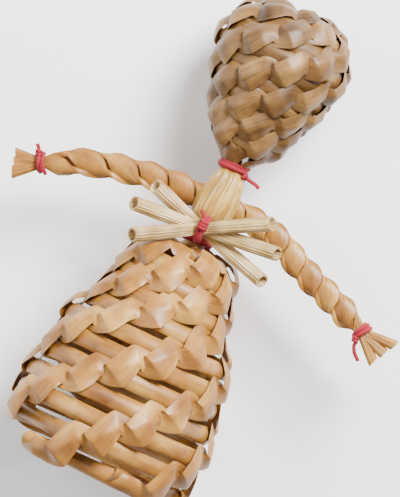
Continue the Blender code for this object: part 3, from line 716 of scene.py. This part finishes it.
def makeBow():
    for number, (one, other) in enumerate(bow["ends"]):
        level = 1 - number
        middle = Vector(bow["middle"]) + Vector((0, 0, level * bow["stack"]))
        rings = []
        for end, direction in ((Vector(one), -1), (Vector(other), 1)):
            arm = end - middle
            flat = Vector((arm.x, arm.y, 0))
            across = Vector((-flat.y, flat.x, 0)) * direction
            half = []
            for share in bow["rings"]:
                opened = min(1.0, share * arm.length / bow["opening"])
                past = max(0.0, share * arm.length - bow["knotBand"])
                lift = level * bow["lift"] * min(1.0, past / bow["liftLength"])
                rise = lift + (arm.z - level * bow["lift"]) * share ** 2
                half.append(Ring(middle + flat * share + Vector((0, 0, rise)), across, (0, 0, 1),
                                 bow["pinchWidth"] + (straw["tube"] - bow["pinchWidth"]) * opened,
                                 bow["pinch"] + (straw["tube"] - bow["pinch"]) * opened))
            slant = Vector((0, 0, 1)) - flat.normalized() * bow["slant"]
            half[-1] = Ring(half[-1].middle, across, slant, straw["tube"], straw["tube"] * slant.length)
            rings = half[::-1] + rings if direction < 0 else rings + half
        wrapStraw(f"bowStraw{number + 1}", rings, f"bow_straw_{number + 1}", paleStraw,
                  gap=bow["ringGap"], sides=bow["sides"],
                  uvStart=bow["stainFrom"] + number * straw["stainStep"], openEnds=(True, True),
                  flutes=bow["flutes"], fluteDepth=bow["fluteDepth"])
    print("bow tied")


ties = {
    "thread": 1.0,
    "gap": 0.3,  # between the straws and the innermost turn
    "layers": ((2.9, 0.4, 0.0), (1.3, 0.72, 0.12)),  # turns, how far out, tilt of the turns
    "steps": 16,  # cross-sections in a turn
    "ripple": 0.03,  # how far a turn strays, and how often it does so
    "ripples": 3.7,
    "knotSteps": 8,  # cross-sections in a turn of a knot, and how far each moves on
    "knotStep": 0.1,
    "sides": 10,
    "ringGap": 0.5,
    "leastWidth": 0.001,
    "stainFrom": 0.0,
}
# Where each thread goes: half of what it goes round, across and out; how wide the turns lie; a knot's
# radius and turns; and the loose ends after and before it, each as a chosen run of points.
threads = {
    "neck": {"half": (bundles["neck"] + ties["gap"],) * 2, "band": 2.7, "knot": (0.55, 1.5),
             "tail": ((3.6, 84.9, 2.4), (5.0, 84.5, 2.9), (6.0, 84.3, 3.1), (7.6, 84.0, 3.1),
                      (8.6, 83.6, 2.9))},
    "waist": {"half": (bundles["waist"] + ties["gap"],) * 2, "band": 2.7, "knot": (0.55, 1.5),
              "tail": ((0.2, 66.3, 4.2), (0.1, 67.0, 5.2), (0.0, 67.4, 5.8))},
    "bow": {"half": (2.6, 2.3), "band": 2.4, "knot": (0.95, 2.5),
            "tail": ((0.0, 68.4, 11.0), (-0.3, 70.8, 11.5), (-1.0, 71.8, 11.4), (-1.9, 72.6, 11.0))},
    "leftWrist": {"half": (1.6, 1.2), "band": 2.4, "knot": (0.55, 1.5),
                  "tail": ((-44.6, 67.8, 1.0), (-45.3, 69.0, 1.2), (-46.2, 70.2, 1.1)),
                  "lead": ((-41.2, 64.2, 0.6), (-41.6, 64.6, 1.0))},
    "rightWrist": {"half": (1.6, 1.2), "band": 2.4, "knot": (0.55, 1.5),
                   "tail": ((46.3, 60.4, 1.0), (46.8, 58.6, 1.0), (47.6, 56.8, 0.8), (49.4, 55.2, 0.5))},
}


def wrapThread(name, node, middle, axis, across):
    thread = threads[name]
    axis = Vector(axis).normalized()
    across = Vector(across).normalized()
    out = axis.cross(across)
    middle = Vector(middle)
    halfAcross, halfOut = thread["half"]
    points = [Vector(p) for p in thread.get("lead", ())]
    for layer, (turns, past, tilt) in enumerate(ties["layers"]):
        count = round(turns * ties["steps"])
        for step in range(count + 1):
            turn = 2 * math.pi * step / ties["steps"]
            share = step / count - 0.5
            along = ((-1) ** layer * share * (thread["band"] - ties["thread"])
                     + tilt * thread["band"] * math.cos(turn))
            bulge = past + ties["ripple"] * math.sin(ties["ripples"] * turn + layer)
            points.append(middle + axis * along + across * ((halfAcross + bulge) * math.cos(turn))
                          + out * ((halfOut + bulge) * math.sin(turn)))
    knot = Vector(thread["tail"][0])
    lean = (Vector(thread["tail"][1]) - knot).normalized()
    radius, turns = thread["knot"]
    for step in range(round(turns * ties["knotSteps"])):
        turn = 2 * math.pi * step / ties["knotSteps"]
        points.append(knot + lean.cross(out) * (radius * math.cos(turn))
                      + out * (radius * math.sin(turn)) + lean * (ties["knotStep"] * step))
    points += [Vector(p) for p in thread["tail"][1:]]
    rings = []
    for i, point in enumerate(points):
        ahead = points[min(i + 1, len(points) - 1)] - points[max(i - 1, 0)]
        outward = (point - middle) - axis * (point - middle).dot(axis)
        wide = ahead.cross(outward)
        if wide.length < ties["leastWidth"]:  # the thread runs straight away from the bundle
            wide = axis
        rings.append(Ring(point, wide, wide.cross(ahead), ties["thread"], ties["thread"]))
    wrapStraw(f"{name}Thread", rings, node, redThread, gap=ties["ringGap"],
              sides=ties["sides"], uvStart=ties["stainFrom"])


def makeTies():
    upright = (0, 1, 0)
    side = (1, 0, 0)
    out = Vector((0, 0, 1))
    wrapThread("neck", "neck_tie", (bundles["neckShift"], heights["neck"], 0), upright, side)
    wrapThread("waist", "waist_tie", (0, heights["waist"], 0), upright, side)
    wrapThread("bow", "bow_tie", bow["middle"], side, upright)
    line = Wall([(*p, 0) for p in arms["line"]])
    for name, node, distance in (("leftWrist", "left_wrist_tie", 0.0),
                                 ("rightWrist", "right_wrist_tie", line.distances[-1])):
        point, along = line.at(distance)
        wrapThread(name, node, point, along, out.cross(along))
    print("threads wound")


makeSkirt()
makeHead()
makeBodice()
makeArms()
makeBow()
makeTies()


# Floor, light and camera

studio = {  # in metres and watts
    "floor": 1.5,  # half its side
    "paper": "#ffffff",
    "paperRoughness": 0.9,
    "sky": 0.5,
    "aim": (0, 0, 0.02),
    "key": {"spot": (0.16, 0.52, 0.5), "size": 0.3, "power": 22.0},
    "fill": {"spot": (-0.5, -0.1, 0.4), "size": 0.5, "power": 3.5},
}


def makeFloor():  # pale matt paper, so that the straw's shadows fall soft and its colour isn't tinted
    data = bpy.data.meshes.new("floor")
    mesh = bmesh.new()
    bmesh.ops.create_grid(mesh, x_segments=1, y_segments=1, size=studio["floor"])
    mesh.to_mesh(data)
    mesh.free()
    floor = bpy.data.objects.new("floor", data)
    bpy.context.scene.collection.objects.link(floor)
    material = bpy.data.materials.new("palePaper")
    material.use_nodes = True
    shader = material.node_tree.nodes["Principled BSDF"]
    shader.inputs["Base Color"].default_value = linear(studio["paper"])
    shader.inputs["Roughness"].default_value = studio["paperRoughness"]
    data.materials.append(material)


def addLight(name):
    data = bpy.data.lights.new(name, "AREA")
    data.size = studio[name]["size"]
    data.energy = studio[name]["power"]
    lamp = bpy.data.objects.new(name, data)
    bpy.context.scene.collection.objects.link(lamp)
    spot = Vector(studio[name]["spot"])
    lamp.location = spot
    lamp.rotation_euler = (Vector(studio["aim"]) - spot).to_track_quat("-Z", "Y").to_euler()


photo = {
    "height": 497,  # pixels
    "scale": 0.25,  # millimetres of the doll in one pixel, at its axis
    "roll": 25.2,  # the doll leans this far clockwise in the picture
    "aim": (1.7, 63.8),  # the place on the doll at the picture's middle, across and up
    "lens": 450.0,  # millimetres: from far off, as the photograph shows hardly any perspective
    "sensor": 36,
    "nearest": 0.01,
}


def makeCamera():
    roll = math.radians(photo["roll"])
    right = Vector((math.cos(roll), math.sin(roll), 0))
    up = Vector((-math.sin(roll), math.cos(roll), 0))
    data = bpy.data.cameras.new("camera")
    data.lens = photo["lens"]
    data.sensor_width = photo["sensor"]
    distance = photo["height"] * photo["scale"] * photo["lens"] / data.sensor_width
    spot = Vector((*photo["aim"], distance))
    turn = Matrix((right, up, Vector((0, 0, 1)))).transposed().to_4x4()
    camera = bpy.data.objects.new("camera", data)
    bpy.context.scene.collection.objects.link(camera)
    unscaled = place @ Matrix.Scale(1 / mm, 4)
    camera.matrix_world = Matrix.Translation(place @ spot) @ (unscaled @ turn).to_3x3().to_4x4()
    data.clip_start = photo["nearest"]
    bpy.context.scene.camera = camera


def makeLight():
    world = bpy.data.worlds.new("studio")
    bpy.context.scene.world = world
    world.use_nodes = True
    background = world.node_tree.nodes["Background"]
    background.inputs["Color"].default_value = linear(studio["paper"])
    background.inputs["Strength"].default_value = studio["sky"]
    addLight("key")
    addLight("fill")


makeFloor()
makeLight()
makeCamera()
print("floor, light and camera set")
